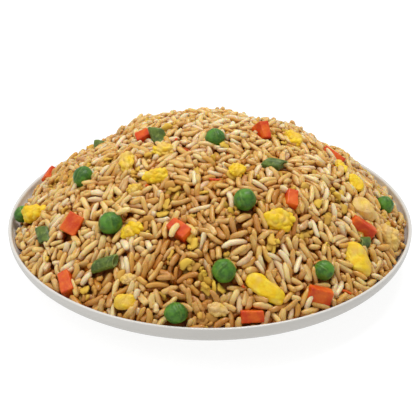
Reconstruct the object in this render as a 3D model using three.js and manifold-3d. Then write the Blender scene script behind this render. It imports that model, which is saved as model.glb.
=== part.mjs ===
// A serving of vegetable and egg fried rice, heaped on a small white coupe plate.
// Millimetres, +Z up, origin on the table under the middle of the plate.
import * as THREE from 'three';
import { ConvexGeometry } from 'three/addons/geometries/ConvexGeometry.js';
import { mergeVertices } from 'three/addons/utils/BufferGeometryUtils.js';
import Module from 'manifold-3d';

const wasm = await Module();
wasm.setup();

// ---- Driving sizes ----------------------------------------------------------

const gap = 0.3; // kept between any two pieces
const ballPocket = 1.26; // an icosahedron this much larger holds a ball
const lobedPocket = 1.42; // and this much larger holds a lobed form
const roundSteps = 40; // facets round the plate and the rice
const splineSteps = 5; // facets along each curved stretch of the plate

const plate = {
  footInner: 47,
  footOuter: 51.5,
  footDepth: 1.5,
  // radius and height of the underside, from the foot ring out to the rim
  underside: [[52.6, 1.9], [64, 4.2], [75, 7.6], [81, 10.4], [85.2, 13.6], [87, 16.6], [87.5, 19.2]],
  // the thin rounded lip
  lip: [[87.1, 19.9], [86.4, 19.9]],
  // the inside, from the lip down to the middle
  inside: [[85.9, 19.2], [85.3, 16.8], [83.2, 14.4], [79, 11.9], [72, 9.2], [58, 6.9], [36, 5.4], [0, 5]],
};

const heap = {
  edgeRadius: 84.4,
  edgeHeight: 17.3, // where the rice meets the plate's wall
  rise: 43.2, // from that edge to the top
  roundness: 2.3,
  // rings of the crown, as shares of the edge radius
  rings: [0.975, 0.93, 0.87, 0.79, 0.7, 0.6, 0.49, 0.37, 0.24, 0.11],
  // broad lumps and hollows: where, how wide, how high
  lumps: [
    { x: -46, y: 36, width: 9, height: -9 },
    { x: -34, y: 40, width: 9, height: 2.5 },
    { x: -20, y: 42, width: 12, height: 2 },
    { x: 2, y: 42, width: 12, height: 1.5 },
    { x: 22, y: 40, width: 12, height: -1.2 },
    { x: 38, y: 40, width: 9, height: 2.5 },
    { x: 50, y: 38, width: 9, height: -3.4 },
    { x: 64, y: 30, width: 12, height: 5 },
  ],
};

// Each topping lies on the heap at x, y, with its middle `lift` above the rice
// there. `turn` is the way that its length points, `tip` raises that end and
// `roll` turns it about its length, in degrees.

const peas = [
  { x: -82, y: 1.8, lift: 2.4, across: 7.4, turn: 0 },
  { x: -54, y: -6.7, lift: 0.6, across: 9.2, turn: 40 },
  { x: -40.7, y: -42.9, lift: 0.9, across: 10, turn: 170 },
  { x: 2.1, y: -3.5, lift: 0.5, across: 8.6, turn: 20 },
  { x: 14.2, y: -41.8, lift: 1.2, across: 9.6, turn: 80 },
  { x: 5.6, y: -67.6, lift: 0.8, across: 9.6, turn: 120 },
  { x: 46.2, y: -57.6, lift: 1, across: 8.8, turn: 60 },
  { x: 75.7, y: -1.6, lift: 0.2, across: 8.2, turn: 10 },
  { x: -13.5, y: -80, lift: 1, across: 9.2, turn: 0 },
  { x: -30, y: 60, lift: -0.4, across: 9.2, turn: 70 },
  { x: 11, y: 73, lift: 0.8, across: 8.8, turn: 150 },
  { x: 46, y: 63.5, lift: 0, across: 9.4, turn: 30 },
];

const carrots = [
  { x: 22.2, y: 9, lift: -0.4, turn: -62, tip: -35, roll: 0, size: [7.6, 5, 7.4], taper: 0.85 },
  { x: -28.6, y: 10.6, lift: -1.2, turn: 10, tip: 0, roll: 20, size: [6, 5.2, 4.6], taper: 0.9 },
  { x: -71.2, y: 29.5, lift: -0.5, turn: 55, tip: 10, roll: 0, size: [8, 4.5, 5], taper: 0.9 },
  { x: -56.6, y: -33, lift: -0.6, turn: 38, tip: 8, roll: 35, size: [8.4, 7.4, 7.4], taper: 0.95 },
  { x: -12, y: -52, lift: -1.6, turn: 130, tip: 0, roll: 0, size: [9.6, 5.6, 6.4], taper: 0.95 },
  { x: 53.4, y: 17.5, lift: -2, turn: 165, tip: 0, roll: 15, size: [10.4, 7, 6], taper: 0.8 },
  { x: 33, y: -34.2, lift: -1.8, turn: 95, tip: 0, roll: 0, size: [7.6, 5.4, 6.6], taper: 0.9 },
  { x: 63.6, y: -27, lift: -1.2, turn: 172, tip: 0, roll: 20, size: [11.5, 6, 6], taper: 0.75 },
  { x: -58.2, y: -54.4, lift: -1.9, turn: 85, tip: 0, roll: 10, size: [9.4, 6.4, 6.5], taper: 0.85 },
  { x: 44, y: -66, lift: -0.2, turn: 175, tip: 0, roll: 45, size: [9.8, 5.8, 5.8], taper: 0.8 },
  { x: 16.6, y: -77.8, lift: -2.4, turn: 5, tip: 0, roll: 20, size: [9.2, 5.4, 5.8], taper: 0.9 },
  { x: -7, y: 69, lift: -1, turn: 40, tip: 0, roll: 30, size: [8.5, 7.5, 7.5], taper: 0.9 },
  { x: 32, y: 57, lift: -1.4, turn: 120, tip: 5, roll: 15, size: [9.5, 7, 7], taper: 0.9 },
  { x: -42, y: 62, lift: -1.2, turn: 15, tip: 0, roll: 40, size: [9, 7, 6.5], taper: 0.85 },
  { x: -12, y: 79, lift: -0.5, turn: 80, tip: 0, roll: 25, size: [8, 6, 6.5], taper: 0.9 },
];

const beans = [
  { x: -49.6, y: 40.6, lift: -1, turn: 80, tip: 35, roll: 0, size: [7, 6, 4.5], slant: 0.3 },
  { x: -22.2, y: 6, lift: -0.4, turn: 100, tip: 45, roll: 0, size: [8, 6.4, 4.5], slant: 0.5 },
  { x: 26.6, y: -15.6, lift: 0.2, turn: -10, tip: 5, roll: 25, size: [8, 5.6, 4], slant: 0.7 },
  { x: -70, y: -26.8, lift: -0.2, turn: 85, tip: 15, roll: 0, size: [8.4, 6.8, 3.6], slant: 0.5 },
  { x: -42.6, y: -57, lift: 0.4, turn: 5, tip: 5, roll: 10, size: [10.5, 5.4, 5], slant: 0.5 },
  { x: 64, y: -34.2, lift: -0.8, turn: 30, tip: 0, roll: 20, size: [6, 5, 4], slant: 0.5 },
  { x: -26, y: 76.6, lift: 0, turn: 160, tip: 0, roll: 20, size: [9, 6.2, 4.5], slant: 0.5 },
  { x: 21, y: 63, lift: 0, turn: 25, tip: 5, roll: 0, size: [10, 6, 4.8], slant: 0.5 },
  { x: 61, y: 53, lift: -0.2, turn: 100, tip: 0, roll: 20, size: [8.5, 6, 4.5], slant: 0.6 },
];

const eggs = [
  { x: -75.4, y: -6, lift: 0.2, turn: 0, tip: -30, roll: 0, size: [12.4, 8.4, 8], detail: 2 },
  { x: -34.9, y: -11.6, lift: -0.2, turn: 75, tip: 0, roll: 20, size: [13, 7.5, 7], detail: 1 },
  { x: -19.6, y: -8, lift: -1, turn: 20, tip: 0, roll: 0, size: [11, 8, 7.4], detail: 1 },
  { x: -22.7, y: -26.4, lift: -0.6, turn: 5, tip: 0, roll: 20, size: [11.5, 8, 5.5], detail: 1 },
  { x: -30.8, y: -28.6, lift: -1.1, turn: 10, tip: 0, roll: 0, size: [7.6, 6, 5], detail: 1 },
  { x: 11.2, y: -21.6, lift: -0.2, turn: 60, tip: 0, roll: 0, size: [7.5, 6.8, 6], detail: 1 },
  { x: 36, y: 13, lift: -0.6, turn: 140, tip: 0, roll: 0, size: [12.5, 8, 5.8], detail: 1 },
  { x: 56.2, y: 3.4, lift: -1, turn: 105, tip: 0, roll: 0, size: [8.8, 5.4, 5], detail: 1 },
  { x: 62, y: -4.6, lift: -0.6, turn: 130, tip: 0, roll: 0, size: [10, 8, 6], detail: 1 },
  { x: 28.3, y: -44.6, lift: -0.6, turn: 5, tip: 0, roll: 10, size: [14.5, 11, 6], detail: 2 },
  { x: 61.2, y: -44, lift: -0.8, turn: 146, tip: 0, roll: 0, size: [15.8, 10.6, 7], detail: 2 },
  { x: 22, y: -69.8, lift: -0.9, turn: 140, tip: 0, roll: 0, size: [18, 8, 6], detail: 2 },
  { x: -34, y: -71.8, lift: -0.9, turn: 30, tip: 0, roll: 0, size: [9.6, 7.6, 6], detail: 1 },
  { x: -31.4, y: -47.4, lift: -0.8, turn: 10, tip: 0, roll: 0, size: [10.6, 7.5, 5.5], detail: 1 },
  { x: -32.6, y: -65.2, lift: -0.8, turn: 0, tip: 0, roll: 0, size: [8, 5.6, 5], detail: 1 },
  { x: 3.2, y: -78.3, lift: -1, turn: 150, tip: 0, roll: 0, size: [9.5, 6.6, 5.5], detail: 1 },
  { x: 65, y: -17.6, lift: -0.4, turn: 160, tip: 0, roll: 0, size: [12.5, 8.4, 7], detail: 1 },
  { x: 76, y: -20.6, lift: -0.6, turn: 150, tip: 0, roll: 0, size: [13.4, 10, 8.8], detail: 1 },
  { x: -22, y: 67, lift: -0.4, turn: 105, tip: 0, roll: 0, size: [13, 8, 6], detail: 2 },
  { x: 35, y: 72, lift: -0.4, turn: 150, tip: 0, roll: 0, size: [11, 8, 6], detail: 1 },
  { x: 6, y: 57, lift: -0.8, turn: 80, tip: 0, roll: 0, size: [10, 8, 5.5], detail: 1 },
  { x: -56, y: 55, lift: -1, turn: 130, tip: 0, roll: 0, size: [9.6, 6.6, 5], detail: 1 },
];

// ---- Materials --------------------------------------------------------------

function finish(colour, roughness) {
  return new THREE.MeshStandardMaterial({ color: colour, roughness, metalness: 0 });
}

const materials = {
  glaze: finish(0xf4f3f0, 0.18),
  rice: finish(0xdcb676, 0.6),
  pea: finish(0x4f7f2c, 0.38),
  carrot: finish(0xd9541e, 0.45),
  bean: finish(0x557a2c, 0.42),
  egg: finish(0xe0b32a, 0.5),
};

// ---- Plate ------------------------------------------------------------------

function smoothStretch(points) {
  const curve = new THREE.SplineCurve(points.map(([r, z]) => new THREE.Vector2(r, z)));
  return curve.getPoints(splineSteps);
}

// The inside again as a height, for the rice that lies in it.
function plateFloor(radius) {
  const path = smoothStretch(plate.inside);
  const k = path.findIndex((point) => point.x <= radius);
  if (k <= 0) return path[0].y;
  const share = (radius - path[k].x) / (path[k - 1].x - path[k].x);
  return THREE.MathUtils.lerp(path[k].y, path[k - 1].y, share);
}

function makePlate() {
  const profile = [
    new THREE.Vector2(0, plate.footDepth),
    new THREE.Vector2(plate.footInner - 0.8, plate.footDepth),
    new THREE.Vector2(plate.footInner, 0),
    new THREE.Vector2(plate.footOuter, 0),
    ...smoothStretch(plate.underside),
    ...plate.lip.map(([r, z]) => new THREE.Vector2(r, z)),
    ...smoothStretch(plate.inside),
  ];
  const shape = new THREE.LatheGeometry(profile, roundSteps);
  shape.rotateX(Math.PI / 2);
  return shape;
}

// ---- Rice heap --------------------------------------------------------------

// Broad uneven rolls of the surface, about a grain high.
function rolls(x, y) {
  const cross = 1.1 * Math.sin(x / 8.5 + 0.6) * Math.sin(y / 7.5 + 1.9);
  return cross + 0.9 * Math.sin(x / 14 - y / 11 + 2.4);
}

function heapHeight(x, y) {
  const share = Math.min(Math.hypot(x, y) / heap.edgeRadius, 1);
  const around = Math.atan2(y, x);
  const edge = heap.edgeHeight + 0.5 * Math.sin(3 * around + 1) + 0.3 * Math.sin(7 * around + 2.2);
  let uneven = rolls(x, y);
  for (const lump of heap.lumps) {
    const away = Math.hypot(x - lump.x, y - lump.y) / lump.width;
    uneven += lump.height * Math.exp(-away * away);
  }
  return edge + heap.rise * (1 - share ** heap.roundness) + uneven * (1 - share ** 5);
}

function makeHeap() {
  const edge = heap.edgeRadius;
  const floorRadii = [0, 52, 74, 81.5];
  const profile = floorRadii.map((r) => new THREE.Vector2(r, plateFloor(r) + gap));
  profile.push(new THREE.Vector2(edge, heap.edgeHeight));
  for (const share of heap.rings) profile.push(new THREE.Vector2(share * edge, 2 * heap.rise));
  profile.push(new THREE.Vector2(0, 2 * heap.rise));
  const shape = new THREE.LatheGeometry(profile, roundSteps);
  shape.rotateX(Math.PI / 2);
  const spot = shape.attributes.position;
  for (let i = 0; i < spot.count; i += 1) {
    if (spot.getZ(i) >= heap.edgeHeight) spot.setZ(i, heapHeight(spot.getX(i), spot.getY(i)));
  }
  return shape;
}

// ---- Toppings ---------------------------------------------------------------
// Each kind has its form and a plainer pocket that holds it, both lying along X.

// A round form of unit size made uneven by slow waves, different for each seed.
function lobedForm(detail, seed, depth) {
  const shape = new THREE.IcosahedronGeometry(0.5, detail);
  const spot = shape.attributes.position;
  const point = new THREE.Vector3();
  for (let i = 0; i < spot.count; i += 1) {
    point.fromBufferAttribute(spot, i);
    const wave = Math.sin(5 * point.x + seed) * Math.cos(6 * point.y - 2 * seed);
    const fold = Math.sin(7 * point.x - 5 * point.y + 3 * seed) * Math.cos(4 * point.z + seed);
    point.multiplyScalar(1 + depth * (wave + 0.7 * fold));
    spot.setXYZ(i, point.x, point.y, point.z);
  }
  shape.computeBoundingBox();
  const middle = shape.boundingBox.getCenter(new THREE.Vector3());
  const size = shape.boundingBox.getSize(new THREE.Vector3());
  shape.translate(-middle.x, -middle.y, -middle.z);
  shape.scale(1 / size.x, 1 / size.y, 1 / size.z);
  return shape;
}

function grown(size) {
  return size.map((side) => side + 2 * gap);
}

function peaSize(item) {
  return [item.across * 1.04, item.across, item.across * 0.94];
}

function makePea(item, seed) {
  return lobedForm(1, seed, 0.03).scale(...peaSize(item));
}

function makePeaPocket(item) {
  return new THREE.IcosahedronGeometry(ballPocket / 2).scale(...grown(peaSize(item)));
}

function makeEgg(item, seed) {
  return lobedForm(item.detail, seed, 0.13).scale(...item.size);
}

function makeEggPocket(item) {
  return new THREE.IcosahedronGeometry(lobedPocket / 2).scale(...grown(item.size));
}

// A diced block: a box narrower at the top and at one end, with its edges cut off.
function makeCarrot(item) {
  const [length, width, height] = item.size;
  const cut = 0.5;
  const corners = [];
  for (const i of [-1, 1]) {
    for (const j of [-1, 1]) {
      for (const k of [-1, 1]) {
        const narrow = (k > 0 ? item.taper : 1) * (i > 0 ? item.taper : 1);
        const x = (i * length) / 2;
        const y = (j * width * narrow) / 2;
        const z = (k * height) / 2;
        corners.push(new THREE.Vector3(x - i * cut, y, z));
        corners.push(new THREE.Vector3(x, y - j * cut, z));
        corners.push(new THREE.Vector3(x, y, z - k * cut));
      }
    }
  }
  return new ConvexGeometry(corners);
}

function makeCarrotPocket(item) {
  return new THREE.BoxGeometry(...grown(item.size));
}

// Slants the ends of a form that lies along X.
function slantEnds(shape, item) {
  return shape.applyMatrix4(new THREE.Matrix4().makeShear(0, 0, item.slant, 0, 0, 0));
}

// A cut length of pod: an oval tube with a shallow hollow in each slanted end.
function makeBean(item) {
  const [length, width, height] = item.size;
  const half = length / 2;
  const hollow = 1.1;
  const profile = [
    [0, hollow - half],
    [0.56, hollow - half],
    [0.8, -half],
    [1, 0.5 - half],
    [1, half - 0.5],
    [0.8, half],
    [0.56, half - hollow],
    [0, half - hollow],
  ].map(([r, along]) => new THREE.Vector2(r / 2, along));
  const shape = new THREE.LatheGeometry(profile, 8);
  shape.rotateZ(-Math.PI / 2);
  shape.scale(1, width, height);
  return slantEnds(shape, item);
}

function makeBeanPocket(item) {
  return slantEnds(new THREE.BoxGeometry(...grown(item.size)), item);
}

// ---- Placing ----------------------------------------------------------------

// The topping's place on the heap, its length laid along the slope.
function placeOnHeap(item) {
  const step = 2;
  const { x, y } = item;
  const slopeX = (heapHeight(x + step, y) - heapHeight(x - step, y)) / (2 * step);
  const slopeY = (heapHeight(x, y + step) - heapHeight(x, y - step)) / (2 * step);
  const up = new THREE.Vector3(-slopeX, -slopeY, 1).normalize();
  const turn = THREE.MathUtils.degToRad(item.turn);
  const along = new THREE.Vector3(Math.cos(turn), Math.sin(turn), 0).projectOnPlane(up).normalize();
  const across = new THREE.Vector3().crossVectors(up, along);
  const frame = new THREE.Matrix4().makeBasis(along, across, up);
  const roll = THREE.MathUtils.degToRad(item.roll ?? 0);
  const tip = THREE.MathUtils.degToRad(-(item.tip ?? 0));
  frame.multiply(new THREE.Matrix4().makeRotationY(tip));
  frame.multiply(new THREE.Matrix4().makeRotationX(roll));
  return frame.setPosition(x, y, heapHeight(x, y) + item.lift);
}

function placed(mesh, item) {
  mesh.applyMatrix4(placeOnHeap(item));
  return mesh;
}

// ---- Solids -----------------------------------------------------------------

function toSolid(geometry) {
  const bare = geometry.clone();
  bare.deleteAttribute('normal');
  bare.deleteAttribute('uv');
  const merged = mergeVertices(bare, 1e-4);
  const index = merged.index.array;
  const triangles = [];
  for (let i = 0; i < index.length; i += 3) {
    const [a, b, c] = [index[i], index[i + 1], index[i + 2]];
    if (a !== b && b !== c && c !== a) triangles.push(a, b, c);
  }
  const vertProperties = Float32Array.from(merged.attributes.position.array);
  const triVerts = Uint32Array.from(triangles);
  return new wasm.Manifold(new wasm.Mesh({ numProp: 3, vertProperties, triVerts }));
}

function toGeometry(solid) {
  const mesh = solid.getMesh();
  const geometry = new THREE.BufferGeometry();
  geometry.setAttribute('position', new THREE.BufferAttribute(mesh.vertProperties, 3));
  geometry.setIndex(new THREE.BufferAttribute(mesh.triVerts, 1));
  geometry.computeVertexNormals();
  return geometry;
}

function largest(solid) {
  const bodies = solid.decompose();
  return bodies.reduce((best, body) => (body.volume() > best.volume() ? body : best));
}

// ---- The whole --------------------------------------------------------------

const kinds = [
  { name: 'pea', items: peas, make: makePea, makePocket: makePeaPocket },
  { name: 'carrot', items: carrots, make: makeCarrot, makePocket: makeCarrotPocket },
  { name: 'bean', items: beans, make: makeBean, makePocket: makeBeanPocket },
  { name: 'egg', items: eggs, make: makeEgg, makePocket: makeEggPocket },
];

const servedPlate = new THREE.Group();
const plateMesh = new THREE.Mesh(makePlate(), materials.glaze);
plateMesh.name = 'plate';
servedPlate.add(plateMesh);

let rice = toSolid(makeHeap());
for (const kind of kinds) {
  kind.items.forEach((item, i) => {
    const mesh = placed(new THREE.Mesh(kind.make(item, i), materials[kind.name]), item);
    mesh.name = `${kind.name}_${i + 1}`;
    servedPlate.add(mesh);
    rice = rice.subtract(toSolid(kind.makePocket(item).applyMatrix4(mesh.matrix)));
  });
}

const heapMesh = new THREE.Mesh(toGeometry(largest(rice)), materials.rice);
heapMesh.name = 'rice_heap';
servedPlate.add(heapMesh);

export default servedPlate;
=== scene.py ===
# Fried rice on a small white plate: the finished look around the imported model.
# Sizes in the dictionaries are millimetres and degrees, +Z up, on the model's own origin.
import math
import random

import bpy
import numpy as np
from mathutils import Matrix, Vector, noise


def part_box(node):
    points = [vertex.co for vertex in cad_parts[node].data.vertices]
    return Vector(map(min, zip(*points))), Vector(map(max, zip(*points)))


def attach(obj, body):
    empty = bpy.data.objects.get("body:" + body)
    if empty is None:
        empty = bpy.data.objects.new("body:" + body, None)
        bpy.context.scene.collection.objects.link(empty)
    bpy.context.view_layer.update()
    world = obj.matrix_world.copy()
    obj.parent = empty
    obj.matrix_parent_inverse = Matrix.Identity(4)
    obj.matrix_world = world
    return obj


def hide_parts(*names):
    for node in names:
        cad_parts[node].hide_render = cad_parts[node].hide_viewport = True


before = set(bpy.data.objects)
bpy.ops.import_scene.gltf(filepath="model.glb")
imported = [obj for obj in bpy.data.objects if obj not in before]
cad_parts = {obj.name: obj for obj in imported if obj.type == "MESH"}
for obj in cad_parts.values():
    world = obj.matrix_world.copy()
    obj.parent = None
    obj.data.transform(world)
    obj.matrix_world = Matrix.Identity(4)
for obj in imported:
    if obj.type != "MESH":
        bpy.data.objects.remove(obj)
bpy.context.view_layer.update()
mm = 0.001


# selecting and shaping by hand
def only(piece):  # this piece selected and nothing else
    bpy.ops.object.select_all(action="DESELECT")
    piece.select_set(True)
    bpy.context.view_layer.objects.active = piece


def editWhole(piece):
    only(piece)
    bpy.ops.object.mode_set(mode="EDIT")
    bpy.ops.mesh.select_mode(type="VERT")
    bpy.ops.mesh.select_all(action="SELECT")


def pickVerts(piece, wanted):  # in edit mode, selects the vertices that pass
    bpy.ops.mesh.select_all(action="DESELECT")
    objectMode()
    for vertex in piece.data.vertices:
        vertex.select = wanted(vertex.co)
    bpy.ops.object.mode_set(mode="EDIT")


def objectMode():
    bpy.ops.object.mode_set(mode="OBJECT")


def useModifier(piece, kind, **settings):
    only(piece)
    modifier = piece.modifiers.new(kind.title(), kind)
    for name, value in settings.items():
        setattr(modifier, name, value)
    bpy.ops.object.modifier_apply(modifier=modifier.name)


def vertexValues(piece, name):
    flat = np.empty(len(piece.data.vertices) * 3, np.float32)
    piece.data.vertices.foreach_get(name, flat)
    return flat.reshape(-1, 3).astype(float)


def coordsOf(piece):  # in millimetres
    return vertexValues(piece, "co") / mm


def setCoords(piece, coords):
    piece.data.vertices.foreach_set("co", (coords * mm).astype(np.float32).ravel())
    piece.data.update()


def normalsOf(piece):
    return vertexValues(piece, "normal")


def roughNoise(places, size, seed=0.0):  # soft noise about -1 to 1, size across
    return np.array([noise.noise(Vector(p) / size + Vector((seed, -seed, 2 * seed))) for p in places])


def splinePoints(points, divisions):  # smooth curve through the points
    last = len(points) - 1
    made = []
    for k in range(divisions + 1):
        place = last * k / divisions
        i = min(int(place), last - 1)
        t = place - i
        p0, p1, p2, p3 = (np.array(points[min(max(j, 0), last)], float) for j in (i - 1, i, i + 1, i + 2))
        v0, v1 = (p2 - p0) / 2, (p3 - p1) / 2
        cubic = 2 * p1 - 2 * p2 + v0 + v1
        square = 3 * p2 - 3 * p1 - 2 * v0 - v1
        made.append(tuple(cubic * t**3 + square * t**2 + v0 * t + p1))
    return made


def spunPiece(name, profile, steps):  # a profile of radius and height, turned on the Z axis
    bpy.ops.object.select_all(action="DESELECT")
    bpy.ops.mesh.primitive_plane_add(size=mm)
    piece = bpy.context.object
    piece.name = piece.data.name = name
    editWhole(piece)
    bpy.ops.mesh.merge(type="CENTER")
    bpy.ops.transform.translate(value=(profile[0][0] * mm, 0, profile[0][1] * mm))
    for (r0, z0), (r1, z1) in zip(profile, profile[1:]):
        step = ((r1 - r0) * mm, 0, (z1 - z0) * mm)
        bpy.ops.mesh.extrude_region_move(TRANSFORM_OT_translate={"value": step})
    bpy.ops.mesh.select_all(action="SELECT")
    bpy.ops.mesh.spin(steps=steps, angle=2 * math.pi, center=(0, 0, 0), axis=(0, 0, 1))
    bpy.ops.mesh.select_all(action="SELECT")
    bpy.ops.mesh.remove_doubles(threshold=0.005 * mm)
    bpy.ops.mesh.normals_make_consistent(inside=False)
    objectMode()
    bpy.ops.object.shade_smooth()
    return piece


# materials as expressions
class Wire:  # one output socket; the operators add Math nodes
    def __init__(self, finish, socket):
        self.finish = finish
        self.socket = socket

    def maths(self, operation, a, b=0.0):
        return self.finish.node("ShaderNodeMath", {"operation": operation}, {0: a, 1: b})

    def out(self, name):  # another output of the same node
        return Wire(self.finish, self.socket.node.outputs[name])

    def __add__(self, other):
        return self.maths("ADD", self, other)

    def __sub__(self, other):
        return self.maths("SUBTRACT", self, other)

    def __rsub__(self, other):
        return self.maths("SUBTRACT", other, self)

    def __mul__(self, other):
        return self.maths("MULTIPLY", self, other)

    def __lt__(self, other):
        return self.maths("LESS_THAN", self, other)

    def __abs__(self):
        return self.maths("ABSOLUTE", self)

    __radd__ = __add__
    __rmul__ = __mul__


class Finish:  # a material and its nodes
    def __init__(self, name, **shader):
        self.material = bpy.data.materials.new(name)
        self.material.use_nodes = True
        self.tree = self.material.node_tree
        self.tree.nodes.clear()
        self.shader = self.node("ShaderNodeBsdfPrincipled", {}, shader)
        self.node("ShaderNodeOutputMaterial", {}, {"Surface": self.shader})
        self.place = self.node("ShaderNodeTexCoord", {}, {}).out("Object")

    def node(self, kind, settings, sockets):
        made = self.tree.nodes.new(kind)
        for name, value in settings.items():
            setattr(made, name, value)
        for name, value in sockets.items():
            socket = made.inputs[name]
            if isinstance(value, Wire):
                self.tree.links.new(value.socket, socket)
            else:
                socket.default_value = value
        return Wire(self, made.outputs[0]) if made.outputs else None

    def noise(self, size, detail, roughness=0.5, stretch=None):  # 0 to 1, size in mm
        place = self.place
        if stretch:
            place = self.node("ShaderNodeMapping", {}, {"Vector": place, "Scale": stretch})
        sockets = {"Vector": place, "Scale": 1 / (size * mm), "Detail": detail, "Roughness": roughness}
        return self.node("ShaderNodeTexNoise", {}, sockets)

    def attribute(self, name):
        return self.node("ShaderNodeAttribute", {"attribute_name": name}, {})

    def between(self, value, low, high):  # 0 below low, 1 above high, soft between
        settings = {"interpolation_type": "SMOOTHSTEP"}
        return self.node("ShaderNodeMapRange", settings, {"Value": value, "From Min": low, "From Max": high})

    def blend(self, share, a, b):  # inputs 6 and 7 and output 2 are the colours
        made = self.node("ShaderNodeMix", {"data_type": "RGBA"}, {"Factor": share, 6: a, 7: b})
        return Wire(self, made.socket.node.outputs[2])

    def bump(self, height, distance, strength):  # distance in mm
        sockets = {"Height": height, "Distance": distance * mm, "Strength": strength}
        return self.node("ShaderNodeBump", {}, sockets)

    def letLightIn(self, weight, depth, radius):  # soft light under the surface, depth in mm
        settings = {"Subsurface Weight": weight, "Subsurface Scale": depth * mm, "Subsurface Radius": radius}
        for name, value in settings.items():
            self.shader.socket.node.inputs[name].default_value = value

    def wear(self, **sockets):  # what changes over the surface
        for name, value in sockets.items():
            self.tree.links.new(value.socket, self.shader.socket.node.inputs[name.replace("_", " ")])
        return self.material


def paint(code):  # a hex colour as the shader's own numbers
    parts = [int(code[i : i + 2], 16) / 255 for i in (0, 2, 4)]
    return tuple(c / 12.92 if c <= 0.04045 else ((c + 0.055) / 1.055) ** 2.4 for c in parts) + (1.0,)


def dress(piece, material, slot, *nodes):  # material, body and the model's nodes it stands for; slot is not used
    piece.data.materials.clear()
    piece.data.materials.append(material)
    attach(piece, "root")
    if nodes:
        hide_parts(*nodes)


plate = {
    "steps": 160,
    "footRing": [  # radius and height, from the middle of the underside out
        (0, 1.5), (20, 1.5), (40, 1.5), (45.4, 1.5), (46.4, 1.2), (46.9, 0.4),
        (47.3, 0), (49.2, 0), (51.1, 0), (51.7, 0.35), (52.1, 1.2),
    ],
    "underside": [(52.6, 1.9), (64, 4.2), (75, 7.6), (81, 10.4), (85.2, 13.6), (87, 16.6), (87.5, 19.2)],
    "undersideSteps": 40,
    "lip": [(87.44, 19.52), (87.25, 19.76), (86.95, 19.88), (86.6, 19.88), (86.3, 19.76), (86.06, 19.5)],
    "inside": [(85.9, 19.2), (85.3, 16.8), (83.2, 14.4), (79, 11.9), (72, 9.2), (58, 6.9), (36, 5.4), (0, 5)],
    "insideSteps": 56,
    "glaze": "E0DDD7",
    "cloud": "D9D6D0",
    "pit": "CFC8BA",
    "bareClay": "E4DFD4",
    "bareTo": 0.3,  # the foot ring has no glaze up to here
    "gloss": 0.16,
}
insideCurve = splinePoints(plate["inside"], plate["insideSteps"])
floorRadii = np.array([p[0] for p in insideCurve[::-1]])
floorHeights = np.array([p[1] for p in insideCurve[::-1]])


def plateFloor(radius):  # height of the plate's inside
    return np.interp(radius, floorRadii, floorHeights)


def glazeFinish():
    glaze = Finish("whiteGlaze", IOR=1.5)
    height = glaze.node("ShaderNodeSeparateXYZ", {}, {"Vector": glaze.place}).out("Z")
    bare = height < plate["bareTo"] * mm
    tone = glaze.blend(glaze.noise(26, 3), paint(plate["glaze"]), paint(plate["cloud"]))
    pits = glaze.between(glaze.noise(1.1, 1), 0.74, 0.8)
    tone = glaze.blend(pits * 0.25, tone, paint(plate["pit"]))
    colour = glaze.blend(bare, tone, paint(plate["bareClay"]))
    rough = plate["gloss"] + 0.05 * glaze.noise(9, 2) + 0.5 * bare
    waves = glaze.noise(14, 1) + 0.04 * glaze.noise(1.6, 1)
    return glaze.wear(Base_Color=colour, Roughness=rough, Normal=glaze.bump(waves, 0.12, 0.5))


profile = plate["footRing"] + splinePoints(plate["underside"], plate["undersideSteps"])
profile += plate["lip"] + insideCurve
dish = spunPiece("small_plate", profile, plate["steps"])
dress(dish, glazeFinish(), "glaze", "plate")
print("plate spun,", len(dish.data.vertices), "vertices")


# the outline of the rice, the same as the model's
heap = {
    "edgeRadius": 84.4,
    "edgeHeight": 17.3,
    "rise": 43.2,
    "roundness": 2.3,
    "lumps": [  # x, y, width, height
        (-46, 36, 9, -9), (-34, 40, 9, 2.5), (-20, 42, 12, 2), (2, 42, 12, 1.5),
        (22, 40, 12, -1.2), (38, 40, 9, 2.5), (50, 38, 9, -3.4), (64, 30, 12, 5),
    ],
    "steepest": 1.6,
    "placesTo": 82,  # radius that keeps a chosen place off the lip
}


def heapHeight(x, y):
    share = np.minimum(np.hypot(x, y) / heap["edgeRadius"], 1)
    around = np.arctan2(y, x)
    edge = heap["edgeHeight"] + 0.5 * np.sin(3 * around + 1) + 0.3 * np.sin(7 * around + 2.2)
    uneven = 1.1 * np.sin(x / 8.5 + 0.6) * np.sin(y / 7.5 + 1.9) + 0.9 * np.sin(x / 14 - y / 11 + 2.4)
    for lumpX, lumpY, width, height in heap["lumps"]:
        uneven = uneven + height * np.exp(-((x - lumpX) ** 2 + (y - lumpY) ** 2) / width**2)
    return edge + heap["rise"] * (1 - share ** heap["roundness"]) + uneven * (1 - share**5)


def heapSteep(x, y):  # how much longer a vertical depth is than one square to the slope
    slopeX = heapHeight(x + 0.5, y) - heapHeight(x - 0.5, y)
    slopeY = heapHeight(x, y + 0.5) - heapHeight(x, y - 0.5)
    return np.minimum(np.sqrt(1 + slopeX**2 + slopeY**2), heap["steepest"])


view = {  # the camera; the last three in pixels of its square frame
    "distance": 787.5,
    "elevation": 29.5,
    "rim": 20,  # height that it looks at
    "focal": 1809,
    "down": 9.5,
    "frame": 420,
}
riseCos, riseSin = math.cos(math.radians(view["elevation"])), math.sin(math.radians(view["elevation"]))
eyeBack, eyeUp = view["distance"] * riseCos, view["distance"] * riseSin


def heapPoint(right, down):  # where the camera's ray through a point of its frame meets the outline
    across = (right - view["frame"] / 2) / view["focal"]
    lift = (view["frame"] / 2 + view["down"] - down) / view["focal"]
    away = np.linspace(0.84, 1.12, 1500) * view["distance"]
    x = away * across
    y = away * (riseCos + lift * riseSin) - eyeBack
    z = away * (lift * riseCos - riseSin) + eyeUp + view["rim"]
    k = int((z < heapHeight(x, y)).argmax())
    spot = np.array([x[k], y[k], z[k]])
    return spot * min(1, heap["placesTo"] / math.hypot(x[k], y[k]))


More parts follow.
